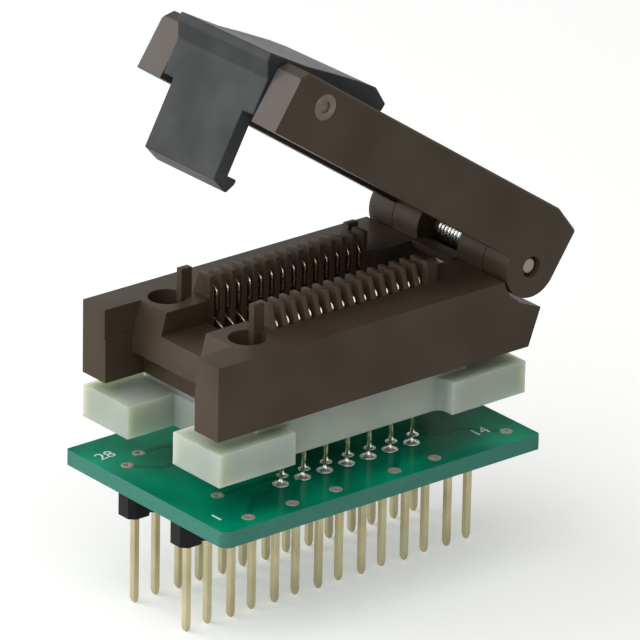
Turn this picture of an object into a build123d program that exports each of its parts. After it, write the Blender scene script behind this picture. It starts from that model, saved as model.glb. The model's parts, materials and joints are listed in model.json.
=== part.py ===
from build123d import *

import os
from math import asin, atan, cos, degrees, radians, sin, sqrt, tan

os.makedirs("parts", exist_ok=True)

# SOIC to DIP adapter: an open-top clamshell socket soldered to a small board on two pin headers.
# Millimetres. Origin at the centre of the pin pattern, at the pin tips. +X runs towards the
# hinge, +Y to the far side, +Z up.

# Header rows that plug into a DIP socket
pins_per_row = 14
pin_pitch = 2.54
row_spacing = 7.62
pin_side = 0.64
pin_tip_side = 0.26
pin_tip_length = 0.8
pin_below_strip = 8.8
pin_stagger = 0.1
pin_in_board = 1.2
strip_width = 2.5
strip_height = 2.52
strip_corner = 0.55
strip_hole_gap = 0.01

# Board
board_length = 36.64
board_width = 23.12
board_thickness = 1.57
board_corner = 1.0
board_press_gap = 0.005
pin_hole_floor_gap = 0.03
tail_hole = 0.62
via_hole = 0.5
via_edge_inset = 1.56
front_via_x = [-14.4, -9.4, -4.4, 2.4, 7.1]
corner_via_inset = 2.2
inner_vias = [(-13.7, -4.7), (-16.15, 5.3), (-13.7, 6.8)]
hole_sides = 8

# Contacts: one flat blanking each, standing in the YZ plane
contacts_per_side = 14
contact_pitch = 1.27
contact_shift = 0.635
contact_thickness = 0.3
contact_strip = 0.35
outer_tail_y = 6.1
inner_tail_y = 4.75
tail_short_of_underside = 0.1
riser_y = 4.5
jog_base_above_body = 1.55
jog_height = 1.4
lower_arm_rise = 0.65
lower_arm_tip_y = 2.45
riser_above_body = 0.45
upper_arm_tip_y = 3.4
upper_arm_tip_rise = 0.75
upper_arm_lip = 0.9
outer_solder_radius = 0.85
inner_solder_radius = 0.48
solder_height = 0.5
solder_top_radius = 0.3

# Pin guide between board and socket
guide_standoff = 3.68
guide_plate_height = 3.1
guide_core_height = 1.28
guide_length = 35.48
guide_overhang = 0.12
guide_block_x = 9.1
guide_waist_inset = 1.75
guide_waist_fillet = 0.9
guide_notch_width = 6.6
guide_notch_depth = 5.24
guide_core_length = 24.34
guide_slot_x = 0.55
guide_slot_y = 0.7

# Socket body
body_height = 7.1
body_width = 19.66
body_left = 17.86
body_right_base = 18.12
body_right_shelf = 19.46
prong_gap = 12.95
prong_relief = 0.12
prong_relief_drop = 2.9
ramp_top_x = 13.8
crossbar_x = 14.8
crossbar_break_drop = 3.6
crossbar_lip_drop = 4.75
latch_recess_x = 13.45
channel_width = 5.7
left_channel_drop = 2.15
right_channel_drop = 2.85
pocket_width = 6.7
pocket_drop = 3.65
pocket_end_margin = 0.65
comb_plate = 0.52
comb_top_rise = 1.95
comb_shoulder_y = 5.0
comb_outer_y = 5.75
comb_slope_drop = 0.15
comb_chamfer = 0.25
slot_side_gap = 0.05
well_x = 11.45
well_y = 5.8
well_radius = 1.75
well_depth = 3.2
left_post_length = 1.2
left_post_offset = 1.48
left_post_y = 5.2
left_post_width = 0.7
left_post_rise = 2.7
right_post_length = 1.2
right_post_x = 9.65
right_post_width = 0.75
right_post_y = 5.65
right_post_rise = 2.15
rib_x = 15.4
rib_length = 1.6
rib_height = 0.65
rib_rise = 0.1

# Hinge
hinge_x = 18.2
hinge_rise = 0.7
hinge_pin_diameter = 1.6
hinge_pin_recess = 0.43
hinge_pin_chamfer = 0.15
pin_fit_gap = 0.01
pin_running_gap = 0.05
ear_radius = 2.95
ear_mouth_diameter = 2.05
ear_mouth_depth = 0.85
ear_body_gap = 0.3
knuckle_radius = 2.95
knuckle_side_gap = 0.05
knuckle_neck_setback = 0.6
neck_overlap = 1.0
trough_gap = 0.4
trough_start = 260
trough_end = 325
shelf_radius = 3.41
shelf_slope = 22.3
shelf_break = 7.0

# Torsion spring round the hinge pin
spring_wire = 0.35
spring_mean_radius = 1.2
spring_turns = 13
spring_facets = 12
spring_end_gap = 0.15
spring_body_leg = 5.0
spring_lid_leg = 6.0
spring_lid_leg_rise = 9.0

# Lid, drawn closed in a frame at the hinge: u towards the latch, v up
lid_open = 34.0
lid_overhang = 0.24
lid_top = 5.9
lid_under = 0.1
lid_rear_chamfer_u = 3.0
lid_rear_chamfer_v = 1.0
lid_front_chamfer = 0.8
cheek_gap = 13.0
lid_edge_break = 0.2
web_under = 2.6
web_swing_radius = 3.3
web_end_setback = 6.9
recess_length = 14.8
recess_floor = 3.75

# Pressure pad under the lid
pad_length = 18.0
pad_side_gap = 0.2
pad_thickness = 0.7
pusher_width = 6.2
pusher_drop = 0.45
pusher_inset = 0.9
pusher_rib = 1.0
peg_side = 1.4
peg_length = 1.6
peg_inset = 3.5
peg_gap = 0.03

# Latch, drawn in a frame at its pivot: s forward, t up
latch_setback = 4.1
latch_pivot_v = 3.9
latch_tuck = 5.5
latch_side_gap = 0.1
latch_panel_width = 9.9
latch_panel_top = 3.05
latch_hub_radius = 1.9
latch_panel_inner = 3.0
latch_panel_thickness = 1.45
latch_hook_depth = 9.0
latch_hook_reach = 1.15
latch_nose_thickness = 0.45
latch_heel = 0.6
latch_bottom = 10.4
latch_toe_rise = 0.75
latch_brow_foot = 0.35
latch_brow_overhang = 0.85
latch_brow_height = 0.8
latch_front_top = 2.62
latch_roof_flat = 0.5
latch_roof_break_s = 2.3
latch_roof_break_t = 2.84
latch_tab_start = 5.9
latch_tab_reach = 10.0
latch_tab_rise = 3.05
latch_tab_chamfer = 1.8
latch_tab_under = 1.2
latch_tab_tip = 0.8
latch_tab_rake = 0.15
rivet_head_diameter = 2.4
rivet_head_height = 0.8
rivet_dimple_diameter = 1.1
rivet_dimple_depth = 0.2

# Levels that follow from the stack
strip_base = pin_below_strip
board_base = strip_base + strip_height
board_top = board_base + board_thickness
guide_base = board_top + guide_standoff
core_base = guide_base + guide_plate_height
body_base = core_base + guide_core_height
body_top = body_base + body_height
slot_floor = body_top - pocket_drop
hinge_z = body_top + hinge_rise
guide_width = body_width + 2 * guide_overhang
guide_waist_width = guide_width - 2 * guide_waist_inset
lid_length = hinge_x + body_left + lid_overhang
latch_pivot_u = lid_length - latch_setback
comb_length = contacts_per_side * contact_pitch + comb_plate
comb_centre = contact_shift
reach = 5.0


def pin_place(index, side):
    """Place of a header pin: the row zigzags a little so that the pins grip their holes."""
    x = (index - (pins_per_row - 1) / 2) * pin_pitch
    y = side * row_spacing / 2 + pin_stagger * (1 if index % 2 else -1)
    return x, y


def contact_x(index):
    """Place of a contact along its row."""
    return contact_shift + (index - (contacts_per_side - 1) / 2) * contact_pitch


def tail_y(index):
    """Contacts take the outer and the inner row of board holes in turn."""
    return outer_tail_y if index % 2 == 0 else inner_tail_y


def from_hinge(radius, angle):
    """Point of the side view at a radius and an angle from the hinge axis."""
    return hinge_x + radius * cos(radians(angle)), hinge_z + radius * sin(radians(angle))


def keep(part, label):
    """Give a finished piece its name and write it."""
    part.label = label
    export_step(part, f"parts/{label}.step")


pin_rows = [(index, side) for side in (-1, 1) for index in range(pins_per_row)]
tail_places = [
    (contact_x(index), side * tail_y(index), index)
    for side in (-1, 1)
    for index in range(contacts_per_side)
]

tip_taper = degrees(atan((pin_side - pin_tip_side) / 2 / pin_tip_length))

# Header pins, numbered as on the package: along the near row, then back along the far row
for number in range(1, 2 * pins_per_row + 1):
    near = number <= pins_per_row
    index = number - 1 if near else 2 * pins_per_row - number
    x, y = pin_place(index, -1 if near else 1)
    with BuildPart() as header_pin:
        with BuildSketch(Plane.XY.offset(pin_tip_length)):
            with Locations((x, y)):
                Rectangle(pin_side, pin_side)
        extrude(amount=board_base + pin_in_board - pin_tip_length)
        with BuildSketch(Plane.XY.offset(pin_tip_length)):
            with Locations((x, y)):
                Rectangle(pin_side, pin_side)
        extrude(amount=-pin_tip_length, taper=tip_taper)
    keep(header_pin.part, f"header_pin_{number:02d}")

# Header strips: a row of eight-sided cells, one for each pin
strip_hole = pin_side + 2 * strip_hole_gap
for side, name in ((-1, "header_strip_front"), (1, "header_strip_rear")):
    half_x, half_y = pin_pitch / 2, strip_width / 2
    with BuildPart() as header_strip:
        with BuildSketch(Plane.XY.offset(strip_base)):
            for index in range(pins_per_row):
                x, y = pin_place(index, side)[0], side * row_spacing / 2
                with Locations((x, y)):
                    Polygon(
                        (-half_x, -half_y + strip_corner), (-half_x + strip_corner, -half_y),
                        (half_x - strip_corner, -half_y), (half_x, -half_y + strip_corner),
                        (half_x, half_y - strip_corner), (half_x - strip_corner, half_y),
                        (-half_x + strip_corner, half_y), (-half_x, half_y - strip_corner),
                    )
            for index in range(pins_per_row):
                with Locations(pin_place(index, side)):
                    Rectangle(strip_hole, strip_hole, mode=Mode.SUBTRACT)
        extrude(amount=strip_height)
    keep(header_strip.part, name)

# Board: the header pins are pressed up into blind plated holes, the tails go right through
press_hole_radius = pin_side / sqrt(2) + board_press_gap
via_y = via_edge_inset - board_width / 2
via_places = [(x, via_y) for x in front_via_x] + inner_vias
via_places.append((board_length / 2 - corner_via_inset, corner_via_inset - board_width / 2))
with BuildPart() as board:
    with BuildSketch(Plane.XY.offset(board_base)):
        RectangleRounded(board_length, board_width, board_corner)
        with Locations([(x, y) for x, y, index in tail_places]):
            RegularPolygon(tail_hole / 2, hole_sides, mode=Mode.SUBTRACT)
        with Locations(via_places):
            RegularPolygon(via_hole / 2, hole_sides, mode=Mode.SUBTRACT)
    extrude(amount=board_thickness)
    with BuildSketch(Plane.XY.offset(board_base)):
        with Locations([pin_place(index, side) for index, side in pin_rows]):
            RegularPolygon(press_hole_radius, hole_sides)
    extrude(amount=pin_in_board + pin_hole_floor_gap, mode=Mode.SUBTRACT)
keep(board.part, "board")

# Solder at the tails, one eight-sided cone round each, on the board's top
with BuildPart() as tail_solder:
    for first, radius in ((0, outer_solder_radius), (1, inner_solder_radius)):
        with BuildSketch(Plane.XY.offset(board_top)):
            with Locations([(x, y) for x, y, index in tail_places if index % 2 == first]):
                RegularPolygon(radius, hole_sides)
        extrude(amount=solder_height, taper=degrees(atan((radius - solder_top_radius) / solder_height)))
    with BuildSketch(Plane.XY.offset(board_top)):
        with Locations([(x, y) for x, y, index in tail_places]):
            Rectangle(contact_thickness, contact_strip)
    extrude(amount=solder_height, mode=Mode.SUBTRACT)
keep(tail_solder.part, "tail_solder")

# Pin guide: a plate with four corner blocks, a notch in each end and a raised core
with BuildPart() as pin_guide:
    with BuildSketch(Plane.XY.offset(guide_base)) as plate:
        Rectangle(guide_length, guide_width)
        waist_depth = (guide_width - guide_waist_width) / 2
        for side in (-1, 1):
            with Locations((0, side * (guide_width - waist_depth) / 2)):
                Rectangle(2 * guide_block_x, waist_depth, mode=Mode.SUBTRACT)
        waist_corners = plate.vertices().filter_by(
            lambda v: abs(abs(v.X) - guide_block_x) < 0.01 and abs(abs(v.Y) - guide_waist_width / 2) < 0.01
        )
        fillet(waist_corners, guide_waist_fillet)
        for side in (-1, 1):
            with Locations((side * (guide_length - guide_notch_depth) / 2, 0)):
                Rectangle(guide_notch_depth, guide_notch_width, mode=Mode.SUBTRACT)
    extrude(amount=guide_plate_height)
    with BuildSketch(Plane.XY.offset(core_base)):
        Rectangle(guide_core_length, guide_waist_width)
    extrude(amount=guide_core_height)
    with BuildSketch(Plane.XY.offset(guide_base)):
        with Locations([(x, y) for x, y, index in tail_places]):
            Rectangle(guide_slot_x, guide_slot_y)
    extrude(amount=guide_plate_height + guide_core_height, mode=Mode.SUBTRACT)
keep(pin_guide.part, "pin_guide")


def contact_outline(tail, side):
    """Flat outline of a contact: tail, jog, riser, and two arms that reach in over the pocket, the upper one with its tip turned down."""
    half = contact_strip / 2
    foot = board_base + tail_short_of_underside
    jog_low = body_base + jog_base_above_body
    jog_high = jog_low + jog_height
    arm = slot_floor + lower_arm_rise
    riser_top = body_top + riser_above_body
    tip = body_top + upper_arm_tip_rise
    points = [
        (tail - half, foot), (tail + half, foot), (tail + half, jog_low), (riser_y + half, jog_high),
        (riser_y + half, riser_top + half), (upper_arm_tip_y, tip + half),
        (upper_arm_tip_y, tip - upper_arm_lip), (upper_arm_tip_y + contact_strip, tip - upper_arm_lip),
        (upper_arm_tip_y + contact_strip, tip - half), (riser_y - half, riser_top - half),
        (riser_y - half, arm + half), (lower_arm_tip_y, arm + half),
        (lower_arm_tip_y, arm - half), (riser_y - half, arm - half), (riser_y - half, jog_high),
        (tail - half, jog_low),
    ]
    return [(side * y, z) for y, z in points]


# Contacts, in four groups: near and far side, outer and inner tails
for side, side_name in ((-1, "front"), (1, "rear")):
    for first, row_name in ((0, "outer"), (1, "inner")):
        with BuildPart() as contacts:
            for index in range(first, contacts_per_side, 2):
                with BuildSketch(Plane.YZ.offset(contact_x(index))):
                    with BuildLine():
                        Polyline(*contact_outline(tail_y(index), side), close=True)
                    make_face()
                extrude(amount=contact_thickness / 2, both=True)
        keep(contacts.part, f"contacts_{side_name}_{row_name}")

# Socket body
with BuildPart() as socket_body:
    ear_clearance = ear_radius + ear_body_gap
    ear_start = 180 + degrees(asin(hinge_rise / ear_clearance))
    shelf_foot_angle = 270 - shelf_slope
    ear_end = shelf_foot_angle - shelf_break
    shelf_foot = from_hinge(shelf_radius, shelf_foot_angle)
    shelf_end_z = shelf_foot[1] - (body_right_shelf - shelf_foot[0]) * tan(radians(shelf_slope))
    with BuildSketch(Plane.XZ):
        with BuildLine():
            Polyline(from_hinge(ear_clearance, ear_start), (-body_left, body_top), (-body_left, body_base),
                     (body_right_base, body_base), (body_right_shelf, shelf_end_z), shelf_foot,
                     from_hinge(ear_clearance, ear_end))
            ThreePointArc(from_hinge(ear_clearance, ear_end),
                          from_hinge(ear_clearance, (ear_start + ear_end) / 2),
                          from_hinge(ear_clearance, ear_start))
        make_face()
    extrude(amount=body_width / 2, both=True)

    # Knuckles and the necks that carry them, in front of the lid's swing
    knuckle_outer = (cheek_gap / 2) - knuckle_side_gap
    knuckle_width = knuckle_outer - channel_width / 2
    with BuildSketch(Plane.XZ.offset(channel_width / 2)):
        with Locations((hinge_x, hinge_z)):
            Circle(knuckle_radius)
        with BuildLine():
            neck_left = hinge_x - ear_clearance - neck_overlap
            neck_right = hinge_x - knuckle_neck_setback
            neck_low = shelf_foot[1] - neck_overlap
            Polyline((neck_left, body_top), (hinge_x, body_top), (hinge_x, hinge_z - knuckle_radius / 2),
                     (neck_right, hinge_z - knuckle_radius / 2), (neck_right, neck_low),
                     (neck_left, neck_low), close=True)
        make_face()
    extrude(amount=knuckle_width)
    mirror(about=Plane.XZ)

    # Notch between the prongs, with the crossbar that the latch hooks under
    with BuildSketch(Plane.XZ):
        with BuildLine():
            Polyline((-body_left - reach, body_top + reach), (-ramp_top_x, body_top + reach),
                     (-ramp_top_x, body_top), (-crossbar_x, body_top - crossbar_break_drop),
                     (-crossbar_x, body_top - crossbar_lip_drop),
                     (-latch_recess_x, body_top - crossbar_lip_drop),
                     (-latch_recess_x, body_base - reach), (-body_left - reach, body_base - reach),
                     close=True)
        make_face()
    extrude(amount=prong_gap / 2, both=True, mode=Mode.SUBTRACT)
    ramp_slope = (crossbar_x - ramp_top_x) / crossbar_break_drop
    with BuildSketch(Plane.XZ):
        with BuildLine():
            Polyline((-body_left - reach, body_top - prong_relief_drop),
                     (-ramp_top_x - ramp_slope * prong_relief_drop, body_top - prong_relief_drop),
                     (-ramp_top_x, body_top), (-body_left - reach, body_top), close=True)
        make_face()
    extrude(amount=prong_gap / 2 + prong_relief, both=True, mode=Mode.SUBTRACT)

    # Combs: a solid bar along each side of the pocket, slotted for the contacts below
    comb_start = comb_centre - comb_length / 2
    with BuildSketch(Plane.YZ.offset(comb_start)) as comb:
        with BuildLine():
            Polyline((pocket_width / 2, slot_floor), (pocket_width / 2, body_top + comb_top_rise),
                     (comb_shoulder_y, body_top + comb_top_rise),
                     (comb_outer_y, body_top - comb_slope_drop), (comb_outer_y, slot_floor), close=True)
        make_face()
        chamfer(comb.vertices().filter_by(lambda v: v.Z > body_top + comb_top_rise / 2), comb_chamfer)
    extrude(amount=comb_length)
    mirror(about=Plane.XZ)

    # Pocket for the package and the two channels in line with it
    pocket_start = comb_start - pocket_end_margin
    pocket_end = comb_start + comb_length + pocket_end_margin
    with BuildSketch(Plane.XZ):
        with BuildLine():
            Polyline((-body_left, body_top - left_channel_drop), (pocket_start, body_top - left_channel_drop),
                     (pocket_start, body_top + reach), (-body_left, body_top + reach), close=True)
        make_face()
        with BuildLine():
            Polyline((pocket_end, body_top - right_channel_drop),
                     (body_right_shelf + reach, body_top - right_channel_drop),
                     (body_right_shelf + reach, body_top + reach), (pocket_end, body_top + reach), close=True)
        make_face()
    extrude(amount=channel_width / 2, both=True, mode=Mode.SUBTRACT)
    with BuildSketch(Plane.XY.offset(slot_floor)):
        with Locations(((pocket_start + pocket_end) / 2, 0)):
            Rectangle(pocket_end - pocket_start, pocket_width)
    extrude(amount=pocket_drop + comb_top_rise + reach, mode=Mode.SUBTRACT)

    # Trough that joins the knuckles under the spring's coil
    trough_inner = spring_mean_radius + spring_wire / 2 + trough_gap
    trough_middle = (trough_start + trough_end) / 2
    with BuildSketch(Plane.XZ):
        with BuildLine():
            ThreePointArc(*(from_hinge(knuckle_radius, a) for a in (trough_start, trough_middle, trough_end)))
            Line(from_hinge(knuckle_radius, trough_end), from_hinge(trough_inner, trough_end))
            ThreePointArc(*(from_hinge(trough_inner, a) for a in (trough_end, trough_middle, trough_start)))
            Line(from_hinge(trough_inner, trough_start), from_hinge(knuckle_radius, trough_start))
        make_face()
    extrude(amount=channel_width / 2, both=True)

    # Contact slots: wide between the comb plates, narrow where the contact passes down
    slot_width = contact_pitch - comb_plate
    passage_width = contact_thickness + 2 * slot_side_gap
    for index in range(contacts_per_side):
        near_edge = min(tail_y(index), riser_y) - contact_strip / 2 - slot_side_gap
        far_edge = max(tail_y(index), riser_y) + contact_strip / 2 + slot_side_gap
        for side in (-1, 1):
            slot_y = side * (pocket_width / 2 + comb_outer_y) / 2
            with Locations((contact_x(index), slot_y, slot_floor)):
                Box(slot_width, comb_outer_y - pocket_width / 2, pocket_drop + comb_top_rise + reach,
                    align=(Align.CENTER, Align.CENTER, Align.MIN), mode=Mode.SUBTRACT)
            with Locations((contact_x(index), side * (near_edge + far_edge) / 2, body_base)):
                Box(passage_width, far_edge - near_edge, slot_floor - body_base,
                    align=(Align.CENTER, Align.CENTER, Align.MIN), mode=Mode.SUBTRACT)

    # Wells, posts and the rib over the spring's leg
    with Locations((-well_x, -well_y, body_top), (-well_x, well_y, body_top)):
        Hole(well_radius, depth=well_depth)
    for side in (-1, 1):
        with Locations((-well_x + left_post_offset, side * left_post_y, body_top - well_depth)):
            Box(left_post_length, left_post_width, well_depth + left_post_rise,
                align=(Align.CENTER, Align.CENTER, Align.MIN))
        with Locations((right_post_x, side * right_post_y, slot_floor)):
            Box(right_post_length, right_post_width, pocket_drop + right_post_rise,
                align=(Align.CENTER, Align.CENTER, Align.MIN))
    with Locations((rib_x, 0, body_top + rib_rise)):
        Box(rib_length, channel_width, rib_height, align=(Align.CENTER, Align.CENTER, Align.MAX))
    # Bore for the hinge pin
    with Locations(Plane.XZ):
        with Locations((hinge_x, hinge_z)):
            Cylinder(hinge_pin_diameter / 2 + pin_fit_gap, body_width, mode=Mode.SUBTRACT)
keep(socket_body.part, "socket_body")

# Hinge pin
with BuildPart() as hinge_pin:
    with BuildSketch(Plane.XZ):
        with Locations((hinge_x, hinge_z)):
            Circle(hinge_pin_diameter / 2)
    extrude(amount=body_width / 2 - hinge_pin_recess, both=True)
    chamfer(hinge_pin.edges().filter_by(GeomType.CIRCLE), hinge_pin_chamfer)
keep(hinge_pin.part, "hinge_pin")

# Hinge spring: close turns as the ridges of a sleeve, one leg to the body and one to the lid
lid_plane = Plane(origin=(hinge_x, 0, hinge_z), z_dir=(0, 1, 0),
                  x_dir=(-cos(radians(lid_open)), 0, sin(radians(lid_open))))
body_leg_slope = degrees(asin((right_channel_drop + hinge_rise - spring_mean_radius - spring_wire)
                              / spring_body_leg))
body_leg_plane = Plane(origin=(hinge_x, 0, hinge_z), z_dir=(0, 1, 0),
                       x_dir=(-cos(radians(body_leg_slope)), 0, -sin(radians(body_leg_slope))))
lid_leg_angle = lid_open + spring_lid_leg_rise
lid_leg_plane = Plane(origin=(hinge_x, 0, hinge_z), z_dir=(0, 1, 0),
                      x_dir=(-cos(radians(lid_leg_angle)), 0, sin(radians(lid_leg_angle))))
coil_length = channel_width - 2 * spring_end_gap
turn = coil_length / spring_turns
with BuildPart() as hinge_spring:
    ridge_taper = degrees(atan(spring_wire / turn))
    for index in range(spring_turns):
        with BuildSketch(lid_plane.offset((index + 0.5) * turn - coil_length / 2)):
            RegularPolygon(spring_mean_radius + spring_wire / 2, spring_facets)
        extrude(amount=turn / 2, both=True, taper=ridge_taper)
    with BuildSketch(lid_plane):
        RegularPolygon(spring_mean_radius - spring_wire / 2, spring_facets)
    extrude(amount=coil_length / 2, both=True, mode=Mode.SUBTRACT)
    with BuildSketch(body_leg_plane.offset(-(coil_length - spring_wire) / 2)):
        with Locations((0, -spring_mean_radius)):
            Rectangle(spring_body_leg, spring_wire, align=(Align.MIN, Align.CENTER))
    extrude(amount=spring_wire / 2, both=True)
    with BuildSketch(lid_leg_plane.offset((coil_length - spring_wire) / 2)):
        with Locations((0, spring_mean_radius)):
            Rectangle(spring_lid_leg, spring_wire, align=(Align.MIN, Align.CENTER))
    extrude(amount=spring_wire / 2, both=True)
keep(hinge_spring.part, "hinge_spring")

# Lid: one moulding with two cheeks, a web between them and two arms that carry the latch
with BuildPart() as lid:
    with BuildSketch(lid_plane):
        Circle(ear_radius)
        with BuildLine():
            Polyline((-ear_radius, 0), (-ear_radius, lid_top - lid_rear_chamfer_v),
                     (-ear_radius + lid_rear_chamfer_u, lid_top), (lid_length - lid_front_chamfer, lid_top),
                     (lid_length, lid_top - lid_front_chamfer), (lid_length, -lid_under),
                     (0, -lid_under), close=True)
        make_face()
    extrude(amount=body_width / 2, both=True)
    outer_edges = lid.faces().filter_by(Axis.Y).edges().filter_by(
        lambda e: (lid_plane.to_local_coords(e.center())).Y > lid_top / 2
    )
    chamfer(outer_edges, lid_edge_break)
    with BuildSketch(lid_plane):
        Circle(web_swing_radius)
        with Locations((0, web_under)):
            Rectangle(lid_length + reach, web_under + reach, align=(Align.MIN, Align.MAX))
        with Locations((lid_length - web_end_setback, 0)):
            Rectangle(lid_length, 2 * (lid_top + reach), align=(Align.MIN, Align.CENTER))
        with Locations((lid_length - recess_length, recess_floor)):
            Rectangle(lid_length, lid_top, align=(Align.MIN, Align.MIN))
    extrude(amount=cheek_gap / 2, both=True, mode=Mode.SUBTRACT)

    # Bores for the hinge pin and the latch rivet, with mouths in the outer faces
    with BuildSketch(lid_plane):
        Circle(hinge_pin_diameter / 2 + pin_running_gap)
        with Locations((latch_pivot_u, latch_pivot_v)):
            Circle(hinge_pin_diameter / 2 + pin_fit_gap)
    extrude(amount=body_width, both=True, mode=Mode.SUBTRACT)
    for side in (-1, 1):
        with BuildSketch(lid_plane.offset(side * body_width / 2)):
            Circle(ear_mouth_diameter / 2)
        extrude(amount=-side * ear_mouth_depth, mode=Mode.SUBTRACT)
        with BuildSketch(lid_plane.offset(side * body_width / 2)):
            with Locations((latch_pivot_u, latch_pivot_v)):
                Circle(rivet_head_diameter / 2 + pin_fit_gap)
        extrude(amount=-side * rivet_head_height, mode=Mode.SUBTRACT)

    # Blind holes for the pad's pegs
    pad_centre = hinge_x - comb_centre
    peg_spots = [pad_centre - pad_length / 2 + peg_inset, lid_length - recess_length - peg_side]
    peg_plane = Plane(origin=lid_plane.from_local_coords((0, web_under, 0)),
                      x_dir=lid_plane.x_dir, z_dir=lid_plane.y_dir)
    with BuildSketch(peg_plane):
        with Locations([(u, 0) for u in peg_spots]):
            Rectangle(peg_side + 2 * peg_gap, peg_side + 2 * peg_gap)
    extrude(amount=peg_length + peg_gap, mode=Mode.SUBTRACT)
keep(lid.part, "lid")

# Pressure pad: a plate under the web with a framed pusher over the package
with BuildPart() as pressure_pad:
    pusher_length = pad_length - 2 * pusher_inset
    with BuildSketch(peg_plane):
        with Locations((pad_centre, 0)):
            Rectangle(pad_length, cheek_gap - 2 * pad_side_gap)
    extrude(amount=-pad_thickness)
    with BuildSketch(peg_plane.offset(-pad_thickness)):
        with Locations((pad_centre, 0)):
            Rectangle(pusher_length, pusher_width)
            Rectangle(pusher_length - 2 * pusher_rib, pusher_width - 2 * pusher_rib, mode=Mode.SUBTRACT)
    extrude(amount=-pusher_drop)
    with BuildSketch(peg_plane):
        with Locations([(u, 0) for u in peg_spots]):
            Rectangle(peg_side, peg_side)
    extrude(amount=peg_length)
keep(pressure_pad.part, "pressure_pad")

# Latch: a thumb tab, a hub and a hooked panel in one moulding
latch_angle = lid_open - latch_tuck
latch_pivot = lid_plane.from_local_coords((latch_pivot_u, latch_pivot_v, 0))
latch_plane = Plane(origin=latch_pivot, z_dir=(0, 1, 0),
                    x_dir=(-cos(radians(latch_angle)), 0, sin(radians(latch_angle))))
panel_outer = latch_panel_inner + latch_panel_thickness
nose = latch_panel_inner - latch_hook_reach
brow = panel_outer + latch_brow_overhang
with BuildPart() as latch:
    with BuildSketch(latch_plane):
        Circle(latch_hub_radius)
        with BuildLine():
            Polyline(
                (0, -latch_hub_radius), (latch_panel_inner, -latch_hub_radius),
                (latch_panel_inner, -latch_hook_depth), (nose, -latch_hook_depth),
                (nose, -latch_hook_depth - latch_nose_thickness), (nose + latch_heel, -latch_bottom),
                (panel_outer, latch_toe_rise - latch_bottom), (panel_outer, latch_brow_foot),
                (brow, latch_front_top - latch_brow_height), (brow, latch_front_top),
                (latch_roof_flat, latch_front_top), (-latch_roof_break_s, latch_roof_break_t),
                (-latch_tab_start, latch_tab_rise), (latch_tab_chamfer - latch_tab_reach, latch_tab_rise),
                (-latch_tab_reach, latch_tab_under + latch_tab_tip),
                (latch_tab_rake - latch_tab_reach, latch_tab_under), (0, latch_tab_under), close=True,
            )
        make_face()
    latch_half = cheek_gap / 2 - latch_side_gap
    extrude(amount=latch_half, both=True)
    for side in (-1, 1):
        with BuildSketch(latch_plane.offset(side * latch_panel_width / 2)):
            with Locations((0, -latch_panel_top)):
                Rectangle(2 * (brow + reach), latch_bottom, align=(Align.CENTER, Align.MAX))
        extrude(amount=side * latch_half, mode=Mode.SUBTRACT)
    with BuildSketch(latch_plane):
        Circle(hinge_pin_diameter / 2 + pin_running_gap)
    extrude(amount=latch_half, both=True, mode=Mode.SUBTRACT)
keep(latch.part, "latch")

# Latch pin: a rivet with two flush heads, the formed one dimpled
with BuildPart() as latch_pin:
    with BuildSketch(latch_plane):
        Circle(hinge_pin_diameter / 2)
    extrude(amount=body_width / 2, both=True)
    for side in (-1, 1):
        with BuildSketch(latch_plane.offset(side * body_width / 2)):
            Circle(rivet_head_diameter / 2)
        extrude(amount=-side * rivet_head_height)
    with BuildSketch(latch_plane.offset(-body_width / 2)):
        Circle(rivet_dimple_diameter / 2)
    extrude(amount=rivet_dimple_depth, mode=Mode.SUBTRACT)
keep(latch_pin.part, "latch_pin")
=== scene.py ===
import json
from math import cos, pi, radians, sin

import bmesh
import bpy
import numpy as np
from mathutils import Matrix, Vector


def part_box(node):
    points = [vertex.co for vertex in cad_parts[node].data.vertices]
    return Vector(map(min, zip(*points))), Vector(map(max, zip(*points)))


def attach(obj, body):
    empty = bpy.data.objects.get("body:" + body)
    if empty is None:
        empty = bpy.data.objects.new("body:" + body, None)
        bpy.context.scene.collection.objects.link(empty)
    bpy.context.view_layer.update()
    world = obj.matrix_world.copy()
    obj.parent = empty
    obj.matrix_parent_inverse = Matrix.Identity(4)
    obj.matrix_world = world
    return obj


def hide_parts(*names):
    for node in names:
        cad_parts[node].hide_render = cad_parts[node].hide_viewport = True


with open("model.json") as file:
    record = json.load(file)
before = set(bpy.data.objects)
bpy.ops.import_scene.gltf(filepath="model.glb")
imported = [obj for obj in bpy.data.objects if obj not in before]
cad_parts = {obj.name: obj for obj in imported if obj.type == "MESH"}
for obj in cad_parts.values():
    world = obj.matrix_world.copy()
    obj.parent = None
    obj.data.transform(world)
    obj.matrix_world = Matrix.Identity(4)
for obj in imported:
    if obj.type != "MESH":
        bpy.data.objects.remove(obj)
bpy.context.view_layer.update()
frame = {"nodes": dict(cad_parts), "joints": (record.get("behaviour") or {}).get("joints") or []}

nodes = frame["nodes"]
hinge = np.array([joint for joint in frame["joints"] if joint["name"] == "lid_hinge"][0]["pos_m"])
mm = 0.001
print("frame loaded:", len(nodes), "nodes")


# Colours and nodes

def srgb(hexColour, alpha=1.0):
    # each channel of the sRGB hex value goes through the sRGB curve to linear light
    values = [int(hexColour[i:i + 2], 16) / 255 for i in (1, 3, 5)]
    linear = [v / 12.92 if v <= 0.04045 else ((v + 0.055) / 1.055) ** 2.4 for v in values]
    return (*linear, alpha)


def addNode(tree, kind, settings=None, links=None):
    # settings are sockets by name or number, or the node's own properties; links feed sockets
    node = tree.nodes.new(kind)
    for name, value in (settings or {}).items():
        if isinstance(name, str) and hasattr(node, name):
            setattr(node, name, value)
        else:
            node.inputs[name].default_value = value
    for name, source in (links or {}).items():
        tree.links.new(source, node.inputs[name])
    return node


def startMaterial(name):
    material = bpy.data.materials.new(name)
    material.use_nodes = True
    material.node_tree.nodes.clear()
    return material, material.node_tree


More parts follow.
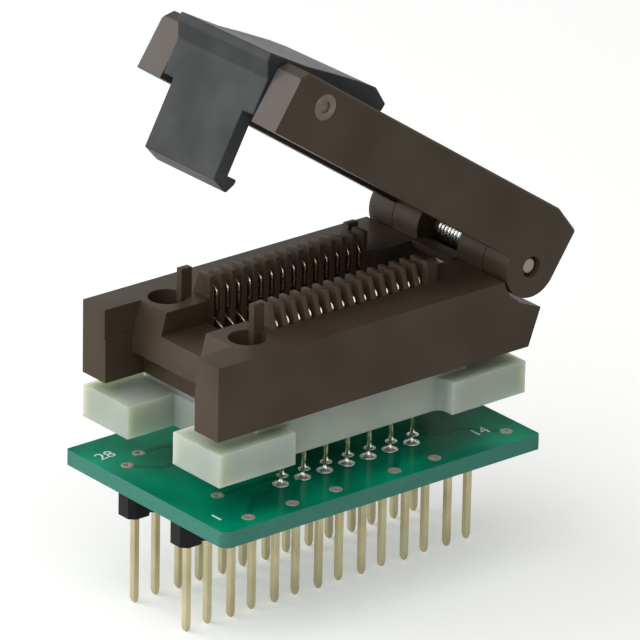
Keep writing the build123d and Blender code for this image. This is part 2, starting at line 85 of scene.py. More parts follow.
def finishMaterial(tree, surface):
    addNode(tree, "ShaderNodeOutputMaterial", links={"Surface": surface.outputs["BSDF"]})


noiseBand = {"From Min": 0.3, "From Max": 0.7}   # noise seldom leaves this band


def driftingTone(tree, place, sizeMm, dark, light):
    # a tone that drifts slowly between two colours, patch by patch, with patches of the given size
    cloud = addNode(tree, "ShaderNodeTexNoise", {"Scale": 1 / (sizeMm * mm), "Detail": 2.0},
                    {"Vector": place})
    share = addNode(tree, "ShaderNodeMapRange", noiseBand, {"Value": cloud.outputs["Fac"]})
    tone = addNode(tree, "ShaderNodeMix", {"data_type": "RGBA", 6: srgb(dark), 7: srgb(light)},
                   {0: share.outputs["Result"]})
    return tone.outputs[2]


# Moulded plastics

mouldFinish = {"ior": 1.55, "grainDetail": 3.0, "grainRoughness": 0.6, "grainDepthMm": 0.02,
               "glossSwing": 0.06, "scatterReach": (0.9, 1.0, 0.55), "scatterMm": 5.0}


def mouldedPlastic(name, look, finish=mouldFinish):
    # glass-filled thermoplastic from a spark-eroded tool: a fine even grain that dulls the gloss,
    # slow cloudy shifts of tone where the melt flowed, and a faint sheen at grazing angles
    material, tree = startMaterial(name)
    place = addNode(tree, "ShaderNodeTexCoord").outputs["Object"]
    tone = driftingTone(tree, place, look["cloudMm"], look["dark"], look["light"])
    grain = addNode(tree, "ShaderNodeTexNoise",
                    {"Scale": 1 / (look["grainMm"] * mm), "Detail": finish["grainDetail"],
                     "Roughness": finish["grainRoughness"]}, {"Vector": place})
    speckle = addNode(tree, "ShaderNodeMix",
                      {"data_type": "RGBA", "blend_type": "MULTIPLY", 0: look["speckle"]},
                      {6: tone, 7: grain.outputs["Color"]})
    dull = addNode(tree, "ShaderNodeMapRange",
                   {**noiseBand, "To Min": look["roughness"] - finish["glossSwing"],
                    "To Max": look["roughness"] + finish["glossSwing"]},
                   {"Value": grain.outputs["Fac"]})
    bump = addNode(tree, "ShaderNodeBump",
                   {"Strength": look["bump"], "Distance": finish["grainDepthMm"] * mm},
                   {"Height": grain.outputs["Fac"]})
    surface = addNode(tree, "ShaderNodeBsdfPrincipled",
                      {"IOR": finish["ior"], "Subsurface Weight": look.get("scatter", 0.0),
                       "Subsurface Radius": finish["scatterReach"],
                       "Subsurface Scale": finish["scatterMm"] * mm,
                       "Specular IOR Level": look["shine"]},
                      {"Base Color": speckle.outputs[2], "Roughness": dull.outputs["Result"],
                       "Normal": bump.outputs["Normal"]})
    finishMaterial(tree, surface)
    return material


# polysulfone, moulded: warm brown-grey with a satin skin
brownLook = {"dark": "#43382C", "light": "#50463A", "cloudMm": 9.0, "grainMm": 0.28,
             "speckle": 0.18, "roughness": 0.44, "bump": 0.35, "shine": 0.1}
# painted sheen: the lid's two ends are paler and a little smoother than the brown, painted to look
# lit by a sheen
endSheenLook = dict(brownLook, dark="#5C5650", light="#66605A", roughness=0.4)
# painted light: the comb plates' upright faces are lighter and warmer than the brown, to look lit
# where they stand in each other's shade
combPaintedLightLook = dict(brownLook, dark="#524439", light="#5E5044")
# black nylon, moulded: neutral, so it looks cool and slightly green beside the brown
latchLook = {"dark": "#2D3030", "light": "#404242", "cloudMm": 4.0, "grainMm": 0.3,
             "speckle": 0.15, "roughness": 0.4, "bump": 0.25, "shine": 0.1}
# nylon without pigment, moulded: milky, and light that enters it softens its own shadows
guideLook = {"dark": "#A2ABA0", "light": "#B4BDB3", "cloudMm": 8.0, "grainMm": 0.4,
             "speckle": 0.05, "roughness": 0.5, "bump": 0.12, "shine": 0.15, "scatter": 1.0}
# glass-filled polyester, moulded: dense black with a dull gloss
stripLook = {"dark": "#111212", "light": "#191A1A", "cloudMm": 3.0, "grainMm": 0.25,
             "speckle": 0.1, "roughness": 0.4, "bump": 0.2, "shine": 0.12}
# the lid's insert, moulded: a darker brown-black with the same satin skin
padLook = {"dark": "#332E2A", "light": "#3F3933", "cloudMm": 5.0, "grainMm": 0.3,
           "speckle": 0.1, "roughness": 0.5, "bump": 0.2, "shine": 0.3}
brownPolysulfone = mouldedPlastic("brownMouldedPolysulfone", brownLook)
paintedSheenPolysulfone = mouldedPlastic("paintedSheenPolysulfone", endSheenLook)
combPaintedLightPolysulfone = mouldedPlastic("paintedLightCombPolysulfone", combPaintedLightLook)
blackGreenNylon = mouldedPlastic("blackGreenMouldedNylon", latchLook)
naturalNylon = mouldedPlastic("naturalMouldedNylon", guideLook)
blackStripPlastic = mouldedPlastic("blackMouldedPolyester", stripLook)
blackPadPlastic = mouldedPlastic("blackMouldedPad", padLook)


# Circuit board

def solderMask(name, look):
    # liquid solder mask over woven glass laminate: deep green and glossy on the flat faces, with
    # the weave just showing; the routed edges are bare laminate, paler, with fine saw lines
    material, tree = startMaterial(name)
    place = addNode(tree, "ShaderNodeTexCoord").outputs["Object"]
    mask = driftingTone(tree, place, look["cloudMm"], look["maskDark"], look["maskLight"])
    saw = addNode(tree, "ShaderNodeMapping", {"Scale": look["sawStretch"]}, {"Vector": place})
    edge = driftingTone(tree, saw.outputs["Vector"], look["fibreMm"], look["edgeDark"],
                        look["edgeLight"])
    normal = addNode(tree, "ShaderNodeNewGeometry").outputs["True Normal"]
    facing = addNode(tree, "ShaderNodeSeparateXYZ", links={"Vector": normal})
    flat = addNode(tree, "ShaderNodeMath", {"operation": "ABSOLUTE"}, {0: facing.outputs["Z"]})
    isFlat = addNode(tree, "ShaderNodeMath", {"operation": "GREATER_THAN", 1: look["flatAbove"]},
                     {0: flat.outputs[0]})
    colour = addNode(tree, "ShaderNodeMix", {"data_type": "RGBA"},
                     {0: isFlat.outputs[0], 6: edge, 7: mask})
    gloss = addNode(tree, "ShaderNodeMapRange",
                    {"To Min": look["edgeRoughness"], "To Max": look["maskRoughness"]},
                    {"Value": isFlat.outputs[0]})
    weave = addNode(tree, "ShaderNodeTexChecker", {"Scale": 1 / (look["weaveMm"] * mm)},
                    {"Vector": place})
    bump = addNode(tree, "ShaderNodeBump",
                   {"Strength": look["weaveBump"], "Distance": look["weaveDepthMm"] * mm},
                   {"Height": weave.outputs["Fac"]})
    surface = addNode(tree, "ShaderNodeBsdfPrincipled",
                      {"IOR": look["ior"], "Specular IOR Level": look["shine"]},
                      {"Base Color": colour.outputs[2], "Roughness": gloss.outputs["Result"],
                       "Normal": bump.outputs["Normal"]})
    finishMaterial(tree, surface)
    return material


boardLook = {"maskDark": "#005A41", "maskLight": "#00A179", "cloudMm": 9.0, "maskRoughness": 0.2,
             "edgeDark": "#427D6F", "edgeLight": "#518E7E", "fibreMm": 0.6, "edgeRoughness": 0.6,
             "sawStretch": (1.0, 1.0, 14.0), "flatAbove": 0.7, "weaveMm": 0.55, "weaveBump": 0.05,
             "weaveDepthMm": 0.01, "ior": 1.5, "shine": 0.02}
# copper under the mask lies closer to the eye than the pale laminate, so a trace is darker green
traceLook = dict(boardLook, maskDark="#005C43", maskLight="#008061", edgeDark="#005C43",
                 edgeLight="#008061")
greenBoard = solderMask("greenSolderMaskOnLaminate", boardLook)
maskedCopper = solderMask("greenSolderMaskOnCopper", traceLook)


# Metals

metalFinish = {"glossSwing": 0.08, "bump": 0.15, "lineDepthMm": 0.005}


def platedMetal(name, look, finish=metalFinish):
    # plated or drawn metal: the colour is in the reflection, broken by faint lines along the draw
    # and by a slow tarnish that moves between two tones
    material, tree = startMaterial(name)
    place = addNode(tree, "ShaderNodeTexCoord").outputs["Object"]
    stretched = addNode(tree, "ShaderNodeMapping", {"Scale": look["stretch"]}, {"Vector": place})
    lines = addNode(tree, "ShaderNodeTexNoise", {"Scale": 1 / (look["lineMm"] * mm), "Detail": 2.0},
                    {"Vector": stretched.outputs["Vector"]})
    tone = driftingTone(tree, place, look["tarnishMm"], look["dark"], look["light"])
    dull = addNode(tree, "ShaderNodeMapRange",
                   {**noiseBand, "To Min": look["roughness"] - finish["glossSwing"],
                    "To Max": look["roughness"] + finish["glossSwing"]},
                   {"Value": lines.outputs["Fac"]})
    bump = addNode(tree, "ShaderNodeBump",
                   {"Strength": finish["bump"], "Distance": finish["lineDepthMm"] * mm},
                   {"Height": lines.outputs["Fac"]})
    surface = addNode(tree, "ShaderNodeBsdfPrincipled", {"Metallic": look["metallic"]},
                      {"Base Color": tone, "Roughness": dull.outputs["Result"],
                       "Normal": bump.outputs["Normal"]})
    finishMaterial(tree, surface)
    return material


# a thin gold flash on drawn bronze: pale straw, with the draw's lines running down the pin
pinLook = {"dark": "#B3AA86", "light": "#CDC49F", "lineMm": 0.12, "tarnishMm": 4.0,
           "stretch": (1.0, 1.0, 0.1), "roughness": 0.38, "metallic": 0.8}
# full gold plate on stamped strip: bright and warm, with lines across the blade
contactLook = {"dark": "#EAD6A2", "light": "#FDF6E0", "lineMm": 0.12, "tarnishMm": 3.0,
               "stretch": (1.0, 0.2, 0.2), "roughness": 0.24, "metallic": 0.95}
# tin and lead, frozen from the melt: silvery and slightly frosted
solderLook = {"dark": "#DADAD8", "light": "#F0F0EE", "lineMm": 0.25, "tarnishMm": 0.9,
              "stretch": (1.0, 1.0, 1.0), "roughness": 0.3, "metallic": 0.9}
# old tinned copper, dull grey with a yellow cast
viaLook = {"dark": "#8F8D7F", "light": "#ABA699", "lineMm": 0.25, "tarnishMm": 0.5,
           "stretch": (1.0, 1.0, 1.0), "roughness": 0.6, "metallic": 0.3}
# ground stainless rod: a soft grey glint with lines along the pin
hingePinLook = {"dark": "#857C75", "light": "#9A9188", "lineMm": 0.15, "tarnishMm": 1.5,
                "stretch": (1.0, 0.1, 1.0), "roughness": 0.45, "metallic": 0.8}
# drawn music wire: the brightest metal here, with a slightly soft reflection
springLook = {"dark": "#D0CFCA", "light": "#EBEAE6", "lineMm": 0.1, "tarnishMm": 1.5,
              "stretch": (1.0, 1.0, 1.0), "roughness": 0.25, "metallic": 1.0}
# steel with a brown oxide skin, which keeps little of its shine
rivetLook = {"dark": "#5D554B", "light": "#756C61", "lineMm": 0.15, "tarnishMm": 1.0,
             "stretch": (1.0, 1.0, 1.0), "roughness": 0.45, "metallic": 0.3}
goldFlashedPin = platedMetal("goldFlashedPhosphorBronze", pinLook)
goldContact = platedMetal("goldPlatedBeryllium", contactLook)
tinSolder = platedMetal("tinLeadSolder", solderLook)
dullVia = platedMetal("tarnishedTinVia", viaLook)
groundSteel = platedMetal("groundStainlessSteel", hingePinLook)
musicWire = platedMetal("drawnMusicWire", springLook)
oxidisedSteel = platedMetal("oxidisedSteelRivet", rivetLook)


# Ink

def printedInk(name, look):
    # screen-printed epoxy ink: flat and matt, one tone with a little unevenness where it thins
    material, tree = startMaterial(name)
    place = addNode(tree, "ShaderNodeTexCoord").outputs["Object"]
    tone = driftingTone(tree, place, look["unevenMm"], look["dark"], look["light"])
    surface = addNode(tree, "ShaderNodeBsdfPrincipled", {"Roughness": look["roughness"]},
                      {"Base Color": tone})
    finishMaterial(tree, surface)
    return material


silkLook = {"dark": "#D5EDE0", "light": "#F0FBF5", "unevenMm": 0.3, "roughness": 0.5}
silkInk = printedInk("whiteEpoxyInk", silkLook)
print("materials made")


# Meshes

def dressPiece(name, mesh, body, replaced=()):
    # the object stays at the origin, with its place in its mesh, and rides on its body
    piece = bpy.data.objects.new(name, mesh)
    bpy.context.scene.collection.objects.link(piece)
    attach(piece, body)
    if replaced:
        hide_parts(*replaced)
    return piece


def makePiece(name, points, faces, material, body, replaced=(), smooth=True):
    mesh = bpy.data.meshes.new(name)
    mesh.from_pydata(points.tolist(), [], faces)
    mesh.update()
    mesh.polygons.foreach_set("use_smooth", np.full(len(mesh.polygons), smooth))
    mesh.materials.append(material)
    return dressPiece(name, mesh, body, replaced)


def roundEdges(piece, name, radiusMm, segments, degrees):
    # a small radius on every edge that turns by more than the given angle
    bevel = piece.modifiers.new(name, "BEVEL")
    bevel.width = radiusMm * mm
    bevel.segments = segments
    bevel.limit_method = "ANGLE"
    bevel.angle_limit = radians(degrees)


def gridFaces(rows, columns, start=0):
    # quads between neighbouring rows of a closed ring of columns, as one index array
    r, c = np.meshgrid(np.arange(rows - 1), np.arange(columns), indexing="ij")
    nextColumn = (c + 1) % columns
    quads = np.stack([r * columns + c, r * columns + nextColumn,
                      (r + 1) * columns + nextColumn, (r + 1) * columns + c], -1)
    return (quads.reshape(-1, 4) + start).tolist()


def cappedFaces(rows, columns):
    # the grid with its first and last ring closed, each cap wound to match the sides
    last = (rows - 1) * columns
    return gridFaces(rows, columns) + [list(range(columns - 1, -1, -1)),
                                       list(range(last, last + columns))]


def joinMeshes(parts):
    # many point and face sets as one, each face number moved on by the points before it
    points, faces, start = [], [], 0
    for somePoints, someFaces in parts:
        points.append(somePoints)
        faces += [[corner + start for corner in face] for face in someFaces]
        start += len(somePoints)
    return np.concatenate(points), faces


def sweepTube(path, radius, sides):
    # a circle carried along the path; its frame is the tangent, the tangent crossed with the
    # hinge's direction, and the cross of those two, so wire wound round that axis never twists
    tangent = np.gradient(path, axis=0)
    tangent /= np.linalg.norm(tangent, axis=1, keepdims=True)
    across = np.cross(tangent, [0.0, 1.0, 0.0])
    across /= np.linalg.norm(across, axis=1, keepdims=True)
    other = np.cross(tangent, across)
    angle = np.linspace(0, 2 * pi, sides, endpoint=False)
    ring = (np.cos(angle)[None, :, None] * across[:, None, :]
            + np.sin(angle)[None, :, None] * other[:, None, :])
    points = path[:, None, :] + radius * ring
    return points.reshape(-1, 3), cappedFaces(len(path), sides)


def revolveProfiles(profile, centres, sides):
    # (radius, height) points turned about a vertical axis at each centre, all in one mesh
    angle = np.linspace(0, 2 * pi, sides, endpoint=False)
    ring = np.stack([np.cos(angle), np.sin(angle)], -1)
    flat = profile[:, 0][:, None, None] * ring[None]
    height = np.broadcast_to(profile[:, 1][:, None, None], (*flat.shape[:2], 1))
    one = np.concatenate([flat, height], -1)
    points = one[None] + centres[:, None, None, :]
    count = len(profile) * sides
    faces = []
    for index in range(len(centres)):
        faces += gridFaces(len(profile), sides, index * count)
    return points.reshape(-1, 3), faces


# Moulded parts: the solids' own form, with the small radius of a real tool on every edge, because
# a dead sharp edge catches no light

weld = {"mergeMm": 0.002, "flatDegrees": 1.0}
sharpMould = {"radiusMm": 0.12, "segments": 2, "edgeDegrees": 30}
fineMould = dict(sharpMould, radiusMm=0.05)
softMould = dict(sharpMould, radiusMm=0.18, segments=3)


def weldedCopy(name, node, look):
    # a copy of the node's loose triangles, joined at their corners and cleared of the lines that
    # cross flat faces
    mesh = nodes[node].data.copy()
    mesh.name = name
    work = bmesh.new()
    work.from_mesh(mesh)
    bmesh.ops.remove_doubles(work, verts=work.verts, dist=look["mergeMm"] * mm)
    bmesh.ops.dissolve_limit(work, angle_limit=radians(look["flatDegrees"]), verts=work.verts,
                             edges=work.edges)
    work.to_mesh(mesh)
    work.free()
    mesh.materials.clear()
    return mesh


def roundedCopy(name, node, look, material, body):
    mesh = weldedCopy(name, node, weld)
    mesh.materials.append(material)
    mesh.polygons.foreach_set("use_smooth", np.ones(len(mesh.polygons), bool))
    piece = dressPiece(name, mesh, body, [node])
    roundEdges(piece, "toolRadius", look["radiusMm"], look["segments"], look["edgeDegrees"])
    weighted = piece.modifiers.new("faceNormals", "WEIGHTED_NORMAL")
    weighted.keep_sharp = True
    return piece


socketMoulding = roundedCopy("socket_moulding", "socket_body", fineMould, brownPolysulfone,
                             "socket")
lidMoulding = roundedCopy("lid_moulding", "lid", sharpMould, brownPolysulfone, "lid")
roundedCopy("latch_moulding", "latch", sharpMould, blackGreenNylon, "latch")
roundedCopy("guide_moulding", "pin_guide", softMould, naturalNylon, "socket")

# faces that take painted light: the lid's two ends take a painted sheen, and the comb's plates but
# for level faces take painted light
paintedLightPlaces = {"lidOpenDegrees": 34.0, "endFacing": 0.97, "endDepthMm": 1.0, "combX": (-8.8, 10.0),
         "combY": (3.3, 5.8), "combLowMm": 26.5, "levelFacing": 0.99}


def faceTable(mesh):
    # every face's centre and normal as two arrays
    count = len(mesh.polygons)
    centres, normals = np.empty(count * 3), np.empty(count * 3)
    mesh.polygons.foreach_get("center", centres)
    mesh.polygons.foreach_get("normal", normals)
    return centres.reshape(-1, 3), normals.reshape(-1, 3)


# a second material on the chosen faces, which paints light on them
def paintedLightTone(piece, material, chosen):
    piece.data.materials.append(material)
    piece.data.polygons.foreach_set("material_index", chosen.astype(np.int32))
    piece.data.update()


# painted sheen on the lid's two end faces
lidAngle = radians(paintedLightPlaces["lidOpenDegrees"])
lidEnd = np.array([-cos(lidAngle), 0, sin(lidAngle)])
centres, normals = faceTable(lidMoulding.data)
reach = centres @ lidEnd
paintedSheenEnds = (normals @ lidEnd > paintedLightPlaces["endFacing"]) & (reach > reach.max() - paintedLightPlaces["endDepthMm"] * mm)
paintedLightTone(lidMoulding, paintedSheenPolysulfone, paintedSheenEnds)

# painted light on the comb plates' upright faces
centres, normals = faceTable(socketMoulding.data)
x, y, z = centres.T / mm
combPaintedLightFaces = ((x > paintedLightPlaces["combX"][0]) & (x < paintedLightPlaces["combX"][1])
          & (abs(y) > paintedLightPlaces["combY"][0]) & (abs(y) < paintedLightPlaces["combY"][1])
          & (z > paintedLightPlaces["combLowMm"]) & (abs(normals[:, 2]) < paintedLightPlaces["levelFacing"]))
paintedLightTone(socketMoulding, combPaintedLightPolysulfone, combPaintedLightFaces)
print("mouldings rounded")


# Hinge spring: a close-wound helix round the hinge pin, with a leg to the body and one to the lid

spring = {"wireMm": 0.34, "meanRadiusMm": 1.12, "turns": 10, "stepsPerTurn": 32, "sides": 10,
          "halfLengthMm": 2.525, "legGapMm": 0.02, "bodyLegMm": 5.0, "bodyLegStartMm": 0.1,
          "bodyLegSlope": 23.58, "lidLegMm": 6.0, "lidLegAngle": 43.0, "legPoints": 12}


def springPaths(look):
    # turn angle grows evenly from the body leg's tangent point to the lid leg's, and the place
    # along the hinge grows with it; each leg is a straight run along the end tangent
    radius = look["meanRadiusMm"]
    startAngle = radians(look["bodyLegSlope"] - 90)
    endAngle = radians(90 - look["lidLegAngle"]) + 2 * pi * look["turns"]
    count = look["turns"] * look["stepsPerTurn"]
    turn = np.linspace(startAngle, endAngle, count)
    coilEnd = look["halfLengthMm"] - look["wireMm"] - look["legGapMm"]   # room for the lid's leg
    along = np.linspace(-look["halfLengthMm"], coilEnd, count)
    coil = np.stack([radius * np.cos(turn), along, radius * np.sin(turn)], -1)
    slope = radians(look["bodyLegSlope"])
    bodyWay = np.array([-cos(slope), 0.0, -sin(slope)])
    reach = np.linspace(look["bodyLegMm"], look["bodyLegStartMm"], look["legPoints"])[:, None]
    bodyLeg = coil[0] + bodyWay * reach
    rise = radians(look["lidLegAngle"])
    lidWay = np.array([-cos(rise), 0.0, sin(rise)])
    legStart = coil[-1] * [1, 0, 1] + [0, look["halfLengthMm"], 0]
    lidLeg = legStart + lidWay * np.linspace(0.0, look["lidLegMm"], look["legPoints"])[:, None]
    return np.concatenate([bodyLeg, coil]) * mm + hinge, lidLeg * mm + hinge


coilPath, lidLegPath = springPaths(spring)
wireRadius = spring["wireMm"] / 2 * mm
points, faces = sweepTube(coilPath, wireRadius, spring["sides"])
makePiece("spring_coil", points, faces, musicWire, "socket", ["hinge_spring"])
points, faces = sweepTube(lidLegPath, wireRadius, spring["sides"])
makePiece("spring_lid_leg", points, faces, musicWire, "lid")
print("spring wound")


# Board: the routed corner nearest pin 1 is round, the three snapped ones are square

boardCorners = {"radiusMm": 1.0, "square": [(1, -1), (1, 1), (-1, 1)], "toleranceMm": 0.001,
                "arrisMm": 0.06, "arrisSegments": 1, "arrisDegrees": 40}
boardHigh = np.array(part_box("board")[1])
boardTop = boardHigh[2]


def squareCorners(mesh, high, look):
    # inside a corner's square each rim point moves out along its line from the arc's centre until
    # it meets the sides: the offset is divided by the larger of its two parts and made the radius
    points = np.empty(len(mesh.vertices) * 3)
    mesh.vertices.foreach_get("co", points)
    points = points.reshape(-1, 3)
    radius = look["radiusMm"] * mm
    for signs in look["square"]:
        centre = (high[:2] - radius) * signs
        offset = (points[:, :2] - centre) * signs
        inside = (offset > look["toleranceMm"] * mm).all(axis=1)
        larger = offset[inside].max(axis=1, keepdims=True)
        points[inside, :2] = centre + offset[inside] / larger * radius * signs
    mesh.vertices.foreach_set("co", points.ravel())
    mesh.update()


boardMesh = weldedCopy("board_panel", "board", weld)
boardMesh.materials.append(greenBoard)
squareCorners(boardMesh, boardHigh, boardCorners)
boardPanel = dressPiece("board_panel", boardMesh, "socket", ["board"])
roundEdges(boardPanel, "arris", boardCorners["arrisMm"], boardCorners["arrisSegments"],
           boardCorners["arrisDegrees"])

# Traces: flat strips under the mask, each from a via near the board's edge across to a tail
traces = {"widthMm": 0.55, "thicknessMm": 0.02,
          "paths": [[(-14.4, -10.0), (-11.2, -6.8), (-9.6, -6.8), (-8.9, -6.1), (-7.6, -6.1)],
                    [(-9.4, -10.0), (-6.2, -6.8), (-5.1, -6.1)],
                    [(-4.4, -10.0), (-1.2, -6.8), (-0.6, -6.1), (0.0, -6.1)],
                    [(2.4, -10.0), (5.0, -7.4), (5.0, -6.1)],
                    [(7.1, -10.0), (9.7, -7.4), (9.7, -6.1), (7.6, -6.1)],
                    [(16.12, -9.36), (13.0, -6.2), (11.0, -6.2), (9.0, -4.75)],
                    [(-13.7, -4.7), (-10.2, -4.7), (-6.4, -4.75)],
                    [(-16.15, 5.3), (-14.0, 3.1), (-9.0, 3.1)],
                    [(-13.7, 6.8), (-11.2, 6.8), (-9.6, 6.1), (-7.6, 6.1)]]}


def flatStrip(path, look):
    # the path's points moved half a width to each side along the mitre of their two runs
    path = np.array(path) * mm
    way = np.diff(path, axis=0)
    way /= np.linalg.norm(way, axis=1, keepdims=True)
    before = np.concatenate([way[:1], way])
    after = np.concatenate([way, way[-1:]])
    mitre = before + after
    mitre /= (mitre * before).sum(axis=1, keepdims=True)
    side = np.stack([-mitre[:, 1], mitre[:, 0]], -1) * look["widthMm"] / 2 * mm
    flat = np.stack([path + side, path - side, path - side, path + side], 1)
    low, high = boardTop, boardTop + look["thicknessMm"] * mm
    height = np.broadcast_to(np.array([high, high, low, low])[None, :, None], (*flat.shape[:2], 1))
    points = np.concatenate([flat, height], -1)
    return points.reshape(-1, 3), cappedFaces(len(path), 4)


points, faces = joinMeshes([flatStrip(path, traces) for path in traces["paths"]])
makePiece("board_traces", points, faces, maskedCopper, "socket", smooth=False)
print("board laid out")


# Solder joints, pads and via rings on the board's top

contactRow = {"count": 14, "pitchMm": 1.27, "shiftMm": 0.635, "outerYMm": 6.1, "innerYMm": 4.75}
joints = {"outerRadiusMm": 0.66, "innerRadiusMm": 0.46, "topRadiusMm": 0.14, "heightMm": 0.48,
          "hollow": 2.4, "crownRadiusMm": 0.02, "crownMm": 0.03, "rings": 8, "sides": 28}
pads = {"outerRadiusMm": 0.76, "innerRadiusMm": 0.56, "underMm": 0.1, "viaRadiusMm": 0.62,
        "holeRadiusMm": 0.1, "thicknessMm": 0.045, "shoulder": 0.4, "sides": 32}


def contactX(index):
    # the place along the board of one contact, or of an array of them
    return contactRow["shiftMm"] + (index - (contactRow["count"] - 1) / 2) * contactRow["pitchMm"]


def tailCentres(first, yMm):
    # every second contact from the first, on both sides of the board
    x = contactX(np.arange(first, contactRow["count"], 2))
    both = [np.stack([x, np.full(len(x), side * yMm), np.zeros(len(x))], -1) for side in (-1, 1)]
    return np.concatenate(both) * mm + [0, 0, boardTop]


def filletProfile(baseRadius, look):
    # radius falls from the pad to the tail with the height along a power curve, hollow as molten
    # solder draws up a pin
    rise = np.linspace(0, 1, look["rings"])
    radius = look["topRadiusMm"] + (baseRadius - look["topRadiusMm"]) * (1 - rise) ** look["hollow"]
    crown = np.array([[look["crownRadiusMm"], look["heightMm"] + look["crownMm"]]])
    return np.concatenate([np.stack([radius, rise * look["heightMm"]], -1), crown]) * mm


def discProfile(inner, outer, look):
    # a thin plated ring: straight hole, flat top, short sloped shoulder
    thickness = look["thicknessMm"]
    return np.array([[inner, 0.0], [inner, thickness], [outer - thickness, thickness],
                     [outer, thickness * look["shoulder"]], [outer, 0.0]]) * mm


outerCentres = tailCentres(0, contactRow["outerYMm"])
innerCentres = tailCentres(1, contactRow["innerYMm"])
viaCentres = np.array([(*path[0], boardTop / mm) for path in traces["paths"]]) * mm
points, faces = joinMeshes([
    revolveProfiles(filletProfile(joints[size], joints), centres, joints["sides"])
    for size, centres in (("outerRadiusMm", outerCentres), ("innerRadiusMm", innerCentres))])
makePiece("tail_joints", points, faces, tinSolder, "socket", ["tail_solder"])
for name, centres, outer, inner, material in (
        ("outer_pads", outerCentres, pads["outerRadiusMm"],
         joints["outerRadiusMm"] - pads["underMm"], tinSolder),
        ("inner_pads", innerCentres, pads["innerRadiusMm"],
         joints["innerRadiusMm"] - pads["underMm"], tinSolder),
        ("via_rings", viaCentres, pads["viaRadiusMm"], pads["holeRadiusMm"], dullVia)):
    points, faces = revolveProfiles(discProfile(inner, outer, pads), centres, pads["sides"])
    makePiece(name, points, faces, material, "socket")
print("solder and pads laid")


# Contacts: stamped blades, each with an outer riser bowed out between the comb's plates, an upper
# arm whose lip turns down at the pocket and a lower arm that the package's lead rests on

blade = {"thicknessMm": 0.26, "lipThicknessMm": 0.14, "tailWidthMm": 0.22, "armWidthMm": 0.3,
         "bendPoints": 5, "footMm": 11.42, "spreadLowMm": 22.55, "spreadHighMm": 23.95,
         "riserMm": 4.5, "bowMm": 5.2, "bowLowMm": 26.4, "topMm": [28.36, 28.5], "lipMm": 3.48,
         "lipTopMm": 28.8, "lipEndMm": 26.6, "branchMm": 25.2,
         "lowerArmMm": [(4.5, 25.2), (4.35, 25.7), (3.6, 25.6), (2.5, 25.1)],
         "edgeMm": 0.04, "edgeSegments": 2, "edgeDegrees": 50}


def roundedPath(corners, look):
    # each inner corner becomes a short curve between the points a third of the way along its runs,
    # the weighted mean of those two and the corner with weights (1-t)^2, 2t(1-t) and t^2
    corners = np.array(corners)
    t = np.linspace(0, 1, look["bendPoints"])[:, None]
    bends = [corners[:1]]
    for index in range(1, len(corners) - 1):
        start = corners[index] + (corners[index - 1] - corners[index]) / 3
        end = corners[index] + (corners[index + 1] - corners[index]) / 3
        bends.append((1 - t) ** 2 * start + 2 * t * (1 - t) * corners[index] + t ** 2 * end)
    return np.concatenate(bends + [corners[-1:]])


def bladeStrip(corners, widths, x, side, look):
    # a rectangle carried along a path in the YZ plane; its width runs along the path's normal and
    # blends from first to last with the root of the way gone, and its thickness runs along x and
    # falls to the lip's with the cube of it
    path = roundedPath(corners, look)
    way = np.gradient(path, axis=0)
    way /= np.linalg.norm(way, axis=1, keepdims=True)
    normal = np.stack([-way[:, 1], way[:, 0]], -1)
    gone = np.linspace(0, 1, len(path))
    half = (widths[0] + (widths[1] - widths[0]) * gone ** 0.5)[:, None] / 2
    left, right = path + normal * half, path - normal * half
    thick = (look["thicknessMm"] + (look["lipThicknessMm"] - look["thicknessMm"]) * gone ** 3) / 2
    ring = [(x - thick, left), (x + thick, left), (x + thick, right), (x - thick, right)]
    points = np.stack([np.column_stack([xValue, side * p[:, 0], p[:, 1]]) for xValue, p in ring], 1)
    return points.reshape(-1, 3) * mm, cappedFaces(len(path), 4)


def contactBlade(index, side, look):
    tail = contactRow["outerYMm"] if index % 2 == 0 else contactRow["innerYMm"]
    x = contactX(index)
    main = [(tail, look["footMm"]), (tail, look["spreadLowMm"]),
            (look["riserMm"], look["spreadHighMm"]), (look["riserMm"], look["branchMm"]),
            (look["bowMm"], look["bowLowMm"]), (look["bowMm"], look["topMm"][index % 2]),
            (look["lipMm"], look["lipTopMm"]), (look["lipMm"], look["lipEndMm"])]
    widths = (look["tailWidthMm"], look["armWidthMm"])
    return [bladeStrip(main, widths, x, side, look),
            bladeStrip(look["lowerArmMm"], widths[::-1], x, side, look)]


def turnFacesOut(mesh):
    # one side's blades are mirrored, which turns their faces in
    work = bmesh.new()
    work.from_mesh(mesh)
    bmesh.ops.recalc_face_normals(work, faces=work.faces)
    work.to_mesh(mesh)
    work.free()


for side, sideName in ((-1, "front"), (1, "rear")):
    strips = []
    for index in range(contactRow["count"]):
        strips += contactBlade(index, side, blade)
    points, faces = joinMeshes(strips)
    piece = makePiece("contact_blades_" + sideName, points, faces, goldContact, "socket",
                      ["contacts_%s_outer" % sideName, "contacts_%s_inner" % sideName])
    turnFacesOut(piece.data)
    roundEdges(piece, "stampedEdge", blade["edgeMm"], blade["edgeSegments"], blade["edgeDegrees"])
print("contacts stamped")


# Header pins: square drawn wire with soft edges and a blunt tip

pin = {"edgeMm": 0.07, "tipRows": [(0.0, 0.45), (0.12, 0.66), (0.32, 0.86), (0.62, 1.0)]}


